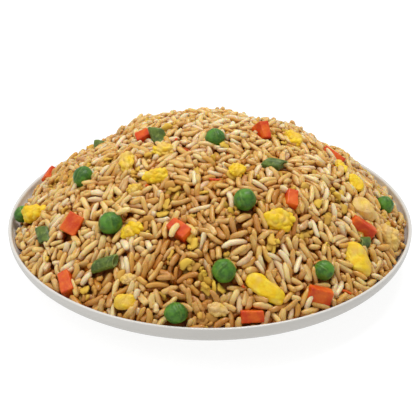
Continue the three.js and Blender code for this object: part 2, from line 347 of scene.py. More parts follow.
core = {
    "depth": 4.7,  # square to the outline, room for the loose grains
    "edge": 80.6,
    "ring": 0.9,
    "steps": 460,
    "bottomRings": (0, 18, 36, 50, 62, 71, 77),
    "offPlate": 0.4,
    "blank": 40,  # the top starts flat at this height
    "crumb": 2.3,  # across each lump of the relief
    "relief": 1.5,
    # painted shade: the core shows only in the gaps between grains, so its dark and light browns are darker
    # than the grains and stand for the shaded rice there
    "dark": "8A420A",
    "light": "B8701C",
}


def modelCore():
    bottom = [(r, float(plateFloor(r)) + core["offPlate"]) for r in (*core["bottomRings"], core["edge"])]
    radii = np.arange(core["edge"] - 0.4, 0.2, -core["ring"])
    lid = [(r, core["blank"]) for r in radii] + [(0, core["blank"])]
    piece = spunPiece("rice_core", bottom + lid, core["steps"])
    places = coordsOf(piece)
    top = places[:, 2] > 0.75 * core["blank"]
    x, y = places[top, 0], places[top, 1]
    flat = np.column_stack([x, y, 0 * x])
    far = np.array([noise.voronoi(Vector(p) / core["crumb"])[0][0] for p in flat])
    relief = core["relief"] * (0.45 - far) + 0.5 * roughNoise(flat, 5)
    height = heapHeight(x, y) - core["depth"] * heapSteep(x, y) + relief
    places[top, 2] = np.maximum(height, plateFloor(np.hypot(x, y)) + 0.6)
    setCoords(piece, places)
    return piece


def shadedCoreFinish():
    crumb = Finish("shadedRiceCore", Roughness=0.7)
    spots = crumb.noise(3.2, 3, 0.6)
    # painted shade: dark to light browns, darker than the grains, for the shade in the gaps
    colour = crumb.blend(crumb.between(spots, 0.35, 0.7), paint(core["dark"]), paint(core["light"]))
    return crumb.wear(Base_Color=colour, Normal=crumb.bump(crumb.noise(1.2, 2), 0.4, 0.8))


heapCore = modelCore()
dress(heapCore, shadedCoreFinish(), "rice", "rice_heap")
print("core,", len(heapCore.data.vertices), "vertices")


# each topping is worked up from its node's own form
def copyOfNode(node, name):
    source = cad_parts[node]
    piece = bpy.data.objects.new(name, source.data.copy())
    piece.data.name = name
    bpy.context.collection.objects.link(piece)
    editWhole(piece)
    bpy.ops.mesh.remove_doubles(threshold=0.002 * mm)
    objectMode()
    return piece


def fitBox(piece, box):  # back to the node's own size, which smoothing has shrunk
    low, high = (np.array(corner) / mm for corner in box)
    places = coordsOf(piece)
    mine = places.min(0), places.max(0)
    middle = (low + high) / 2
    scale = (high - low) / (mine[1] - mine[0])
    setCoords(piece, (places - (mine[0] + mine[1]) / 2) * scale + middle)


def smoothForm(piece, levels, box):
    useModifier(piece, "SUBSURF", levels=levels, render_levels=levels)
    fitBox(piece, box)


def paintPlaces(piece, name, values):  # one number for each vertex, for the material to read
    layer = piece.data.attributes.new(name, "FLOAT", "POINT")
    layer.data.foreach_set("value", np.asarray(values, np.float32))


peaLook = {
    "levels": 3,
    "usual": 4.6,  # the radius that these heights are for
    "dent": 0.32,
    "pucker": 0.1,
    "crease": 0.5,
    "creases": {  # where the skin's fold lies, and across which way it runs
        1: ((-0.2, -0.3, 0.9), (1, 0, 0.2)),
        2: ((-0.3, -0.5, 0.8), (0.8, -0.5, 0)),
        3: ((0.1, -0.75, 0.65), (0.9, -0.1, 0.35)),
        4: ((0, -0.4, 0.9), (0.9, 0.4, 0)),
        5: ((-0.35, -0.7, 0.6), (0.8, -0.2, 0.6)),
        6: ((-0.35, -0.75, 0.55), (0.75, -0.5, -0.45)),
        7: ((-0.3, -0.6, 0.75), (0.6, 0.7, 0.3)),
        8: ((0.5, -0.5, 0.7), (0.8, 0.5, -0.2)),
        9: ((0.3, -0.6, 0.7), (0.7, 0.4, 0)),
    },
    "skin": "568C26",
    "deep": "335F17",
    "bright": "80A038",
    "fold": "94B450",
}


def modelPea(number):
    node = f"pea_{number}"
    piece = copyOfNode(node, f"green_pea_{number}")
    smoothForm(piece, peaLook["levels"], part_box(node))
    places, normals = coordsOf(piece), normalsOf(piece)
    middle = (places.min(0) + places.max(0)) / 2
    away = places - middle
    across = np.linalg.norm(away, axis=1).mean()
    unit = away / np.linalg.norm(away, axis=1)[:, None]
    spin = random.Random(40 + number)
    anyWay = (spin.uniform(-1, 1), spin.uniform(-1, 1), 0.8), (spin.uniform(-1, 1), 1, 0.2)
    facing, through = peaLook["creases"].get(number, anyWay)
    facing = np.array(facing) / np.linalg.norm(facing)
    through = np.cross(facing, np.cross(through, facing))
    through = through / np.linalg.norm(through)
    near = np.clip((unit @ facing - 0.55) / 0.35, 0, 1)
    beside = unit @ through + 0.06 * roughNoise(unit, 0.5, number)
    fold = np.exp(-((beside / 0.085) ** 2))
    trough = np.exp(-(((beside - 0.15) / 0.1) ** 2)) + 0.7 * np.exp(-(((beside + 0.17) / 0.12) ** 2))
    lift = peaLook["crease"] * near * (0.6 * fold - 0.55 * trough)
    lift += peaLook["dent"] * roughNoise(unit, 0.75, 3 * number)
    lift += peaLook["pucker"] * roughNoise(unit, 0.26, number)
    setCoords(piece, places + normals * lift[:, None] * across / peaLook["usual"])
    fitBox(piece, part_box(node))
    paintPlaces(piece, "fold", near * fold)
    return piece


def peaFinish():
    skin = Finish("peaSkin", IOR=1.42)
    skin.letLightIn(0.12, 1.5, (0.5, 1.0, 0.25))
    cloudy = skin.between(skin.noise(3.6, 2), 0.35, 0.68)
    colour = skin.blend(cloudy, paint(peaLook["deep"]), paint(peaLook["skin"]))
    speck = skin.between(skin.noise(0.7, 2), 0.5, 0.75)
    colour = skin.blend(speck * 0.35, colour, paint(peaLook["bright"]))
    colour = skin.blend(skin.attribute("fold").out("Fac") * 0.2, colour, paint(peaLook["fold"]))
    rough = 0.3 + 0.18 * skin.noise(1.5, 2)
    return skin.wear(Base_Color=colour, Roughness=rough, Normal=skin.bump(skin.noise(0.5, 2), 0.05, 0.6))


carrotLook = {
    "voxel": 0.34,
    "smoothing": 3,
    "roughCut": 0.16,
    "fibre": 0.09,
    "flesh": "E66816",
    "heart": "EE8A2C",
    "deep": "CE3A0C",
}


def modelCarrot(number):
    node = f"carrot_{number}"
    piece = copyOfNode(node, f"carrot_dice_{number}")
    useModifier(piece, "REMESH", mode="VOXEL", voxel_size=carrotLook["voxel"] * mm)
    useModifier(piece, "SMOOTH", factor=0.5, iterations=carrotLook["smoothing"])
    places, normals = coordsOf(piece), normalsOf(piece)
    lift = carrotLook["roughCut"] * roughNoise(places, 2.6, number)
    lift += carrotLook["fibre"] * roughNoise(places, 0.8, number)
    setCoords(piece, places + normals * lift[:, None])
    fitBox(piece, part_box(node))
    return piece


def carrotFinish():
    flesh = Finish("carrotFlesh", IOR=1.4)
    flesh.letLightIn(0.15, 1.2, (1.0, 0.35, 0.1))
    cloudy = flesh.between(flesh.noise(5, 2), 0.3, 0.7)
    colour = flesh.blend(cloudy, paint(carrotLook["deep"]), paint(carrotLook["flesh"]))
    streak = flesh.between(flesh.noise(1.0, 2, 0.5, (1, 0.4, 1.6)), 0.5, 0.8)
    colour = flesh.blend(streak * 0.35, colour, paint(carrotLook["heart"]))
    rough = 0.3 + 0.2 * flesh.noise(1.3, 2)
    return flesh.wear(Base_Color=colour, Roughness=rough, Normal=flesh.bump(flesh.noise(0.6, 2), 0.06, 0.6))


beanLook = {
    "voxel": 0.3,
    "smoothing": 4,
    "dent": 0.22,
    "pucker": 0.06,
    "hollow": 0.62,  # share of a cut end that the middle takes up, painted dark as the shade inside the pod
    "skin": "667C2A",
    "deep": "42561E",
    "bloom": "98A65A",
    "flesh": "A8B468",
    # middle: painted shade inside the pod at each cut end
    "middle": "3E5A24",
}


def beanAxis(piece):  # the two ends' middles are where eight edges meet
    meet = np.zeros(len(piece.data.vertices), int)
    for edge in piece.data.edges:
        for i in edge.vertices:
            meet[i] += 1
    ends = coordsOf(piece)[meet == 8]
    return ends[0], ends[1]


def modelBean(number):
    node = f"bean_{number}"
    piece = copyOfNode(node, f"bean_slice_{number}")
    first, second = beanAxis(piece)
    useModifier(piece, "REMESH", mode="VOXEL", voxel_size=beanLook["voxel"] * mm)
    useModifier(piece, "SMOOTH", factor=0.5, iterations=beanLook["smoothing"])
    fitBox(piece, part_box(node))
    places, normals = coordsOf(piece), normalsOf(piece)
    length = np.linalg.norm(second - first)
    axis = (second - first) / length
    away = places - (first + second) / 2
    along = away @ axis
    around = np.linalg.norm(away - along[:, None] * axis, axis=1)
    facing = np.abs(normals @ axis)
    lift = beanLook["dent"] * roughNoise(places, 2.4, number)
    lift += beanLook["pucker"] * roughNoise(places, 0.7, number)
    setCoords(piece, places + normals * lift[:, None])
    ends = np.clip((facing - 0.55) / 0.3, 0, 1) * np.clip((np.abs(along) - length / 2 * 0.75) / 0.6, 0, 1)
    inner = np.clip(1 - around / np.percentile(around, 92) / beanLook["hollow"], 0, 1)
    paintPlaces(piece, "cut", ends)
    # painted shade: the middle of each cut end, as if hollow
    paintPlaces(piece, "hollow", ends * np.clip(inner * 3, 0, 1))
    return piece


def beanFinish():
    skin = Finish("beanSkin", IOR=1.42)
    skin.letLightIn(0.1, 1.0, (0.5, 1.0, 0.3))
    cloudy = skin.between(skin.noise(2.8, 3), 0.3, 0.7)
    colour = skin.blend(cloudy, paint(beanLook["deep"]), paint(beanLook["skin"]))
    bloom = skin.between(skin.noise(1.2, 2), 0.48, 0.75)
    colour = skin.blend(bloom * 0.5, colour, paint(beanLook["bloom"]))
    colour = skin.blend(skin.attribute("cut").out("Fac") * 0.75, colour, paint(beanLook["flesh"]))
    # painted shade: the middle of each cut end darkened as if hollow
    colour = skin.blend(skin.attribute("hollow").out("Fac") * 0.8, colour, paint(beanLook["middle"]))
    rough = 0.36 + 0.2 * skin.noise(1.2, 2)
    return skin.wear(Base_Color=colour, Roughness=rough, Normal=skin.bump(skin.noise(0.5, 2), 0.06, 0.6))


eggLook = {
    "levels": 3,
    "coarse": 60,  # a node with fewer vertices takes one level more
    "usual": 8.5,  # a piece of this size has lobes this far across
    "lobe": 3.1,
    "curd": 1.4,
    "pore": 0.7,
    "slabs": {  # flat torn pieces: which way the face looks, and the share that it cuts off
        9: ((0.3, -0.55, 0.8), 0.42),
        11: ((-0.25, -0.62, 0.75), 0.45),
        12: ((0.1, -0.7, 0.7), 0.42),
        13: ((0.15, -0.75, 0.65), 0.45),
        17: ((0.2, -0.5, 0.85), 0.35),
    },
    "yolk": "EFC204",
    "pale": "F6DA38",
    "fried": "E2BC7A",
    # crease: painted shade in the valleys between the curd's lobes
    "crease": "D89C10",
    "scorched": "9A6220",
    "browned": {
        2: 0.35, 3: 0.35, 5: 0.5, 7: 0.05, 8: 0.1, 11: 0.1, 13: 0.2, 15: 0.8, 16: 0.8, 17: 0.7, 18: 0.8,
    },
}


def modelEgg(number):
    node = f"egg_{number}"
    piece = copyOfNode(node, f"egg_curd_{number}")
    fine = len(piece.data.vertices) >= eggLook["coarse"]
    smoothForm(piece, eggLook["levels"] - int(fine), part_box(node))
    places, normals = coordsOf(piece), normalsOf(piece)
    across = np.ptp(places, axis=0).mean() / eggLook["usual"]  # large curds have larger lobes
    curds = np.abs(roughNoise(places, eggLook["lobe"] * across, number))
    small = np.abs(roughNoise(places, eggLook["curd"] * across, number + 0.5))
    lift = (2.4 * curds + 0.6 * small) * across
    if number in eggLook["slabs"]:
        facing, cut = eggLook["slabs"][number]
        facing = np.array(facing) / np.linalg.norm(facing)
        out = (places - places.mean(0)) @ facing
        over = np.maximum(out - (1 - cut) * out.max(), 0)
        places = places - 0.9 * over[:, None] * facing
        lift = 0.5 * roughNoise(places, 4.5, number) + 0.5 * curds + 0.25 * small
    lift = lift + 0.12 * roughNoise(places, eggLook["pore"], number)
    setCoords(piece, places + normals * lift[:, None])
    fitBox(piece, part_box(node))
    brown = eggLook["browned"].get(number, 0)
    paintPlaces(piece, "fried", np.clip(brown + 0.6 * roughNoise(places, 3.2, number + 9), 0, 1))
    # painted shade: the valleys between lobes
    paintPlaces(piece, "crease", np.clip(1 - curds / 0.09, 0, 1))
    return piece


def eggFinish():
    curd = Finish("eggCurd", IOR=1.4)
    curd.letLightIn(0.15, 1.5, (1.0, 0.8, 0.2))
    cloudy = curd.between(curd.noise(3, 2), 0.35, 0.75)
    colour = curd.blend(cloudy, paint(eggLook["yolk"]), paint(eggLook["pale"]))
    fried = curd.attribute("fried").out("Fac")
    colour = curd.blend(fried, colour, paint(eggLook["fried"]))
    # painted shade: darker gold in the valleys between lobes
    colour = curd.blend(curd.attribute("crease").out("Fac") * 0.45, colour, paint(eggLook["crease"]))
    scorch = curd.between(curd.noise(0.8, 2), 0.6, 0.75) * fried
    colour = curd.blend(scorch * 0.6, colour, paint(eggLook["scorched"]))
    rough = 0.38 + 0.2 * curd.noise(1.4, 2)
    return curd.wear(Base_Color=colour, Roughness=rough, Normal=curd.bump(curd.noise(0.7, 3), 0.12, 0.7))


toppings = []
kinds = {
    "pea": (modelPea, peaFinish()),
    "carrot": (modelCarrot, carrotFinish()),
    "bean": (modelBean, beanFinish()),
    "egg": (modelEgg, eggFinish()),
}
for kind, (model, finish) in kinds.items():
    count = sum(name.startswith(kind + "_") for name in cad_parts)
    for number in range(1, count + 1):
        piece = model(number)
        only(piece)
        bpy.ops.object.shade_smooth()
        dress(piece, finish, kind, f"{kind}_{number}")
        toppings.append(piece)
    print(kind, "pieces:", count)


# the surface that loose grains come to rest on, as heights on a grid
pile = {
    "reach": 92.0,
    "cell": 0.5,
    "spread": 84.8,  # grains start no further out than this
    "lip": 85.6,  # and touch nothing beyond this
    "core": 0.4,  # the relief's usual height over the core
    "tuck": 3,  # cells that grains tuck in under a topping's widest part
    "shows": 1.5,  # a topping shows from this far under the outline
}
gridLine = np.arange(-pile["reach"], pile["reach"] + 0.01, pile["cell"])
gridX, gridY = np.meshgrid(gridLine, gridLine)
gridR = np.hypot(gridX, gridY)
outline = heapHeight(gridX, gridY)
steepness = heapSteep(gridX, gridY)
under = outline - core["depth"] * steepness + pile["core"]
ground = np.maximum(np.where(gridR < core["edge"], under, 0), plateFloor(gridR))
ground[gridR > pile["lip"]] = 1e3  # out of bounds
covered = np.zeros(ground.shape, bool)  # where a topping shows


def cellOf(value):
    return np.rint((np.asarray(value) + pile["reach"]) / pile["cell"]).astype(int)


def layTopping(piece):
    places = coordsOf(piece)
    faces = np.empty(len(piece.data.polygons) * 3, np.float32)
    piece.data.polygons.foreach_get("center", faces)
    places = np.vstack([places, faces.reshape(-1, 3) / mm])
    col, row = cellOf(places[:, 0]), cellOf(places[:, 1])
    top = np.full(ground.shape, -1.0)
    np.maximum.at(top, (row, col), places[:, 2])
    for turn in range(pile["tuck"]):
        beside = [top[:-2, 1:-1], top[2:, 1:-1], top[1:-1, :-2], top[1:-1, 2:]]
        top[1:-1, 1:-1] = np.min([top[1:-1, 1:-1], *beside], axis=0)
    shows = top > outline - pile["shows"]
    covered[shows] = True
    np.maximum(ground, np.where(shows | (top > ground), top, ground), out=ground)


for piece in toppings:
    layTopping(piece)
print("grid ready,", int(covered.sum()), "cells under toppings")

# grains of rice and the bits among them
grainForms = {  # rings are the width at six places along; bend, groove and rough in millimetres
    "plump": {"length": 8.5, "width": 2.94, "thick": 2.54, "bend": 0.3, "groove": 0.2,
              "rings": (0.47, 0.81, 1, 1.02, 0.81, 0.52)},
    "stout": {"length": 7.8, "width": 3.14, "thick": 2.59, "bend": 0.4, "groove": 0.15,
              "rings": (0.59, 0.87, 1, 1.03, 0.79, 0.45)},
    "long": {"length": 10.2, "width": 2.75, "thick": 2.38, "bend": 0.35, "groove": 0.15,
             "rings": (0.45, 0.78, 1.02, 0.99, 0.83, 0.5)},
    "even": {"length": 9.1, "width": 2.7, "thick": 2.38, "bend": 0.6, "groove": 0.1,
             "rings": (0.54, 0.83, 0.97, 1.02, 0.85, 0.56)},
    "curved": {"length": 9.7, "width": 2.8, "thick": 2.38, "bend": 1.1, "groove": 0.1,
               "rings": (0.5, 0.83, 1, 1.02, 0.82, 0.48)},
    "hooked": {"length": 8.5, "width": 2.8, "thick": 2.34, "bend": 1.45, "groove": 0.1,
               "rings": (0.45, 0.79, 1.04, 0.98, 0.86, 0.57)},
    "slim": {"length": 8.8, "width": 2.46, "thick": 2.13, "bend": 0.5, "groove": 0.15,
             "rings": (0.45, 0.8, 1, 0.97, 0.8, 0.45)},
    "blunt": {"length": 6.8, "width": 2.94, "thick": 2.54, "bend": 0.2, "groove": 0.12,
              "rings": (0.74, 0.92, 1, 0.98, 0.77, 0.45)},
    "waisted": {"length": 8.8, "width": 2.94, "thick": 2.44, "bend": 0.55,
                "rings": (0.52, 0.86, 0.9, 0.92, 0.9, 0.5)},
    "split": {"length": 7.6, "width": 3.14, "thick": 2.09, "bend": 0.4, "groove": 0.5,
              "rings": (0.72, 0.9, 0.96, 0.92, 0.81, 0.45)},
    "chip": {"length": 4.9, "width": 2.85, "thick": 2.44, "bend": 0.15, "groove": 0.12,
             "rings": (0.66, 0.9, 1, 0.97, 0.81, 0.57)},
    "nub": {"length": 3.2, "width": 2.4, "thick": 2.1, "bend": 0.0,
            "rings": (0.62, 0.9, 1, 0.98, 0.86, 0.6)},
    "crumb": {"length": 3.3, "width": 2.5, "thick": 1.6, "bend": 0.3,
              "rings": (0.5, 0.9, 0.8, 1, 0.8, 0.4), "rough": 0.6, "stuff": "egg"},
    "flake": {"length": 5.2, "width": 3.4, "thick": 1.5, "bend": 0.7,
              "rings": (0.4, 0.9, 0.8, 1, 0.9, 0.4), "rough": 0.7, "stuff": "egg"},
    "shred": {"length": 4.6, "width": 1.3, "thick": 1.1, "bend": 0.5,
              "rings": (0.8, 1, 1, 0.9, 0.9, 0.7), "rough": 0.12, "stuff": "carrot"},
    "speck": {"length": 1.6, "width": 1.2, "thick": 0.9, "bend": 0.0,
              "rings": (0.7, 1, 1, 0.9, 0.9, 0.6), "rough": 0.15, "stuff": "speck"},
}
ringPlaces = (-0.468, -0.365, -0.14, 0.14, 0.365, 0.468)  # shares of the length
restPlaces = np.array((-0.42, -0.28, -0.14, 0.0, 0.14, 0.28, 0.42))
grainMake = {"around": 8, "along": 7, "rough": 0.13, "wobble": (0.13, 0.11)}

rice = {
    "seed": 11,
    "tint": 0.25,  # how tan a grain is, and how browned, with their spreads
    "tintSpread": 0.19,
    "brown": 0.16,
    "brownSpread": 0.15,
    "nest": 0.7,  # soft grains press into each other
    "room": 1.0,
    "overlap": 0.35,  # share of grains that may lie partly on a topping
    "overlapCells": 2,
    "free": 1.6,  # how far the rest of a grain may hang free, on average
    "chance": 2.3,  # how far chance decides between tries
    "tip": 0.45,
    "steepTip": 0.85,
    "steep": 0.5,  # share of grains that are tipped steeply
    "steepest": 1.25,
    "roll": 0.7,
    "stretch": (0.86, 0.24),
    "proud": 0.4,  # grains get darker from so far above the outline: painted shade that deepens with depth, plus some soaked-in sauce
    "soakAndShadeDepth": 2.9,
    "renew": 25,  # grains tried between two looks at what is still open
    "layers": {  # mean and highest rise over the outline, misses allowed, tries for each grain
        "deep": (-2.2, -0.6, 12, 40),
        "top": (0.0, 1.5, 40, 48),
        "gaps": (-0.4, 0.7, 60, 60),
    },
    "mix": {
        "plump": 16, "stout": 10, "long": 12, "even": 12, "curved": 10, "hooked": 7,
        "slim": 8, "blunt": 10, "waisted": 7, "split": 6, "chip": 5, "nub": 1,
    },
    "bits": {"crumb": 1, "flake": 1.5, "shred": 0.4, "speck": 1},
    "gaps": {"chip": 6, "nub": 4, "blunt": 3, "crumb": 0.3, "slim": 3},
    "stainAndLightSpots": [  # on the camera's frame, with a width in mm and a strength; below 0 is paler. Those up to 12 mm wide are sauce stains; the broad ones, 22 mm and over, are painted light and shade over whole regions of the heap
        (175, 255, 12, 0.25), (92, 295, 10, 0.3), (60, 175, 10, 0.25), (395, 225, 9, 0.3), (125, 160, 9, 0.2),
        (230, 110, 8, 0.15), (205, 325, 8, 0.3), (290, 215, 8, 0.25), (215, 205, 30, 0.12),
        (210, 275, 28, 0.05), (105, 200, 28, -0.15), (205, 128, 26, -0.15), (335, 190, 22, -0.12),
    ],
}


def bowAt(form, share):  # how far the bent grain's middle line lies to the side
    return form["bend"] * (1 - (share / 0.5) ** 2) - form["bend"] / 2


def modelGrain(name, form):
    bpy.ops.object.select_all(action="DESELECT")
    sphere = {"segments": grainMake["around"], "ring_count": grainMake["along"], "radius": 0.5 * mm}
    bpy.ops.mesh.primitive_uv_sphere_add(rotation=(0, math.pi / 2, 0), **sphere)
    piece = bpy.context.object
    piece.name = piece.data.name = name
    bpy.ops.object.transform_apply(location=False, rotation=True, scale=False)
    editWhole(piece)
    size = (form["length"], form["width"], form["thick"])
    bpy.ops.transform.resize(value=size, center_override=(0, 0, 0))
    objectMode()
    stations = sorted({round(v.co.x / mm, 2) for v in piece.data.vertices})[1:-1]
    bpy.ops.object.mode_set(mode="EDIT")
    for k, station in enumerate(stations):
        pickVerts(piece, lambda co: abs(co.x / mm - station) < 0.02)
        ring = math.sin(math.pi * (k + 1) / grainMake["along"])  # the sphere's own width there
        grow = form["rings"][k] / ring
        bpy.ops.transform.resize(value=(1, grow, grow), center_override=(station * mm, 0, 0))
        sideways = grainMake["wobble"][0] * math.sin(2.3 * k + form["length"])
        upward = grainMake["wobble"][1] * math.sin(1.9 * k + 3 * form["width"])
        shift = (ringPlaces[k] * form["length"] - station, bowAt(form, ringPlaces[k]) + sideways, upward)
        bpy.ops.transform.translate(value=tuple(s * mm for s in shift))
    pickVerts(piece, lambda co: abs(co.x / mm) > 0.495 * form["length"])
    bpy.ops.transform.translate(value=(0, -form["bend"] / 2 * mm, 0))
    if "groove" in form:
        reach, height = 0.36 * form["length"] * mm, 0.4 * form["thick"] * mm
        pickVerts(piece, lambda co: abs(co.x) < reach and co.z > height)
        bpy.ops.transform.translate(value=(0, 0, -form["groove"] * mm))
    bpy.ops.mesh.select_all(action="SELECT")
    seed = len(name) + int(form["length"] * 10)
    bpy.ops.transform.vertex_random(offset=form.get("rough", grainMake["rough"]) * mm, seed=seed)
    objectMode()
    return piece


class Grain:  # one modelled grain's mesh, and the balls along it that come to rest
    def __init__(self, name, form):
        piece = modelGrain("grain_" + name, form)
        mesh = piece.data
        self.name = name
        self.length = form["length"]
        self.places = coordsOf(piece)
        self.loops = np.array([loop.vertex_index for loop in mesh.loops])
        self.sizes = np.array([face.loop_total for face in mesh.polygons])
        self.uv = np.array([tuple(item.uv) for item in mesh.uv_layers[0].data])
        self.along = self.places[:, 0] / form["length"] + 0.5
        self.rest = restPlaces * form["length"]
        self.bow = bowAt(form, restPlaces)
        rings = np.interp(restPlaces, ringPlaces, form["rings"])
        self.radii = rice["nest"] * rings * (form["width"] + form["thick"]) / 4
        reach = int(math.ceil(self.radii.max() / pile["cell"]))
        steps = np.arange(-reach, reach + 1)
        stepX, stepY = (a.ravel() for a in np.meshgrid(steps, steps))
        far = np.hypot(stepX, stepY) * pile["cell"]
        near = far < self.radii.max()
        self.stepX, self.stepY, far = stepX[near], stepY[near], far[near]
        inside = self.radii[:, None] ** 2 - far[None, :] ** 2
        self.cap = np.where(inside > 0, np.sqrt(np.maximum(inside, 0)), -50.0)  # far down past a ball's edge
        bpy.data.objects.remove(piece)


# each array holds one value for each try; the grain is let down, as turned, until it touches
def settle(grain, x, y, turn, pitch, roll, stretch):
    row, col = cellOf(y), cellOf(x)
    cos, sin = np.cos(turn), np.sin(turn)
    fall = slopeX[row, col] * cos + slopeY[row, col] * sin
    roll = roll + np.arctan(slopeY[row, col] * cos - slopeX[row, col] * sin)
    slope = np.tan(np.clip(np.arctan(fall) + pitch, -rice["steepest"], rice["steepest"]))
    along = grain.rest[None, :] * (stretch / np.sqrt(1 + slope**2))[:, None]
    side = grain.bow[None, :] * np.cos(roll)[:, None]
    lift = grain.bow[None, :] * np.sin(roll)[:, None] + slope[:, None] * along
    cols = cellOf(x[:, None] + along * cos[:, None] - side * sin[:, None])
    rows = cellOf(y[:, None] + along * sin[:, None] + side * cos[:, None])
    under = ground[rows[..., None] + grain.stepY, cols[..., None] + grain.stepX]
    need = (under + grain.cap).max(2) - lift
    height = need.max(1)
    balls = height[:, None] + lift
    proud = (balls + grain.radii - outline[rows, cols]) / steepness[rows, cols]
    gap = (height[:, None] - need).mean(1)  # how far the rest of it hangs free
    return {
        "x": x, "y": y, "turn": turn, "roll": roll, "stretch": stretch, "height": height, "slope": slope,
        "rows": rows, "cols": cols, "balls": balls, "mean": proud.mean(1), "most": proud.max(1),
        "gap": gap, "over": covered[rows, cols].sum(1),
    }


def putDown(grain, lie, k, tint, brown):  # keeps try k and raises the pile there
    for i in range(len(restPlaces)):
        rows, cols = lie["rows"][k, i] + grain.stepY, lie["cols"][k, i] + grain.stepX
        ground[rows, cols] = np.maximum(ground[rows, cols], lie["balls"][k, i] + grain.cap[i])
    pitch = math.atan(lie["slope"][k])
    cos, sin = math.cos(lie["turn"][k]), math.sin(lie["turn"][k])
    xAxis = np.array([cos * math.cos(pitch), sin * math.cos(pitch), math.sin(pitch)])
    level = np.array([-sin, cos, 0.0])
    up = np.cross(xAxis, level)
    roll = lie["roll"][k]
    axes = np.array([
        xAxis * lie["stretch"][k],
        level * math.cos(roll) + up * math.sin(roll),
        up * math.cos(roll) - level * math.sin(roll),
    ])
    spot = np.array([lie["x"][k], lie["y"][k], lie["height"][k]])
    laid.setdefault(grain.name, []).append((axes, spot, (tint, brown)))


def tryLies(grain, x, y):  # tries at these places, turned every way and tipped a little or a lot
    tries = len(x)
    turn = draw.random(tries) * 2 * math.pi
    tip = np.where(draw.random(tries) < rice["steep"], rice["steepTip"], rice["tip"])
    pitch = draw.normal(size=tries) * tip
    roll = draw.normal(size=tries) * rice["roll"]
    stretch = rice["stretch"][0] + rice["stretch"][1] * draw.random(tries)
    return settle(grain, x, y, turn, pitch, roll, stretch)


def openPlaces(level):  # cells where the pile is still well under the outline, the deepest likeliest
    room = (outline - ground) / steepness + level - rice["room"]
    room = np.where((gridR < pile["spread"]) & ~covered, room, 0).ravel()
    places = np.flatnonzero(room > 0)
    return places, room[places] / max(room[places].sum(), 1e-9)


def chooseTone(x, y):  # how tan and how browned a grain at x, y is, from sauce stains and from broad spots of painted light and shade
    stainAndLight = 0
    for at, wide, much in stainAndLightSpots:
        stainAndLight += much * math.exp(-((x - at[0]) ** 2 + (y - at[1]) ** 2) / wide**2)
    tint = draw.normal(rice["tint"] + 0.5 * stainAndLight, rice["tintSpread"])
    brown = draw.normal(rice["brown"] + stainAndLight, rice["brownSpread"])
    return float(np.clip(tint, 0, 1)), float(np.clip(brown, 0, 1))


def fillTo(mix, meanTop, mostTop, patience, tries):  # lays grains until too many in a row find no place
    names = list(mix)
    weights = np.array(list(mix.values()), float) / sum(mix.values())
    missed = count = calls = 0
    while missed < patience:
        turn = calls % rice["renew"]
        if turn == 0:
            places, likely = openPlaces(meanTop)
            if not len(places):
                break
            waiting = draw.choice(places, rice["renew"] * tries, p=likely)
        spots = waiting[turn * tries : (turn + 1) * tries]
        calls += 1
        grain = grains[names[draw.choice(len(names), p=weights)]]
        lie = tryLies(grain, gridX.ravel()[spots], gridY.ravel()[spots])
        allowed = rice["overlapCells"] if draw.random() < rice["overlap"] else 0
        bad = (lie["mean"] > meanTop) | (lie["most"] > mostTop)
        bad |= (lie["over"] > allowed) | (lie["gap"] > rice["free"])
        score = lie["gap"] + 0.4 * lie["mean"] + rice["chance"] * draw.random(tries) + 50.0 * bad
        k = int(score.argmin())
        if bad[k]:
            missed += 1
            continue
        missed = 0
        putDown(grain, lie, k, *chooseTone(lie["x"][k], lie["y"][k]))
        count += 1
    return count


standOut = {
    "tries": 24,
    "brown": 0.05,
    "grains": [  # form, how tan, and its two ends on the camera's frame
        ("curved", 0.0, (221, 246), (247, 238)), ("blunt", 0.0, (198, 190), (209, 175)),
        ("plump", 0.1, (169, 244), (178, 231)), ("even", 0.1, (184, 201), (189, 216)),
        ("long", 0.3, (187, 221), (196, 237)), ("plump", 0.2, (225, 299), (232, 285)),
        ("hooked", 0.0, (271, 251), (286, 281)), ("plump", 0.3, (71, 203), (89, 214)),
        ("plump", 0.3, (70, 278), (76, 295)), ("even", 0.2, (115, 222), (129, 214)),
        ("plump", 0.0, (81, 282), (94, 271)), ("long", 0.1, (105, 283), (117, 268)),
        ("plump", 0.5, (300, 196), (301, 212)), ("blunt", 0.3, (299, 216), (311, 209)),
        ("even", 0.1, (336, 242), (349, 234)),
    ],
}

crumbs = {  # scrambled egg in crumbs
    "each": 16,  # square pixels for each crumb
    "least": 3,
    "flakes": 0.65,  # share that are flakes
    "tries": 12,
    "highest": 1.3,
    "groups": [  # middle, width and height on the camera's frame, and how browned
        (204, 112, 11, 7, 0.2), (193, 117, 11, 5, 0.5), (73, 171, 10, 7, 0.6), (67, 212, 8, 8, 0.9),
        (320, 201, 11, 7, 0.4), (86, 289, 14, 11, 0.3), (192, 240, 15, 9, 0.2), (273, 243, 15, 7, 0.2),
        (147, 222, 14, 12, 0.7), (205, 320, 12, 7, 0.8), (378, 187, 10, 7, 0.3), (191, 261, 13, 9, 0.3),
        (59, 180, 8, 7, 0.5), (89, 167, 10, 4, 0.4), (150, 154, 10, 7, 0.3), (137, 171, 10, 9, 0.4),
        (175, 187, 17, 8, 0.6), (108, 159, 18, 7, 0.4), (168, 258, 11, 8, 0.5), (203, 276, 7, 5, 0.0),
        (213, 287, 18, 9, 0.3), (304, 234, 6, 8, 0.4), (328, 218, 8, 8, 0.4), (383, 217, 5, 9, 0.4),
        (403, 232, 6, 10, 0.8), (368, 175, 7, 6, 0.3), (275, 135, 10, 7, 0.2), (166, 207, 10, 10, 0.3),
        (338, 198, 9, 8, 0.2), (344, 208, 6, 8, 0.4),
    ],
}
stainAndLightSpots = [(heapPoint(right, down), wide, much) for right, down, wide, much in rice["stainAndLightSpots"]]
draw = np.random.default_rng(rice["seed"])
slopeY, slopeX = np.gradient(outline, pile["cell"])
laid = {}
grains = {name: Grain(name, form) for name, form in grainForms.items()}
print("grain forms:", ", ".join(grains))


def hold(lie, k):  # later grains leave this one in sight
    for i in range(1, len(restPlaces) - 1):
        covered[lie["rows"][k, i], lie["cols"][k, i]] = True


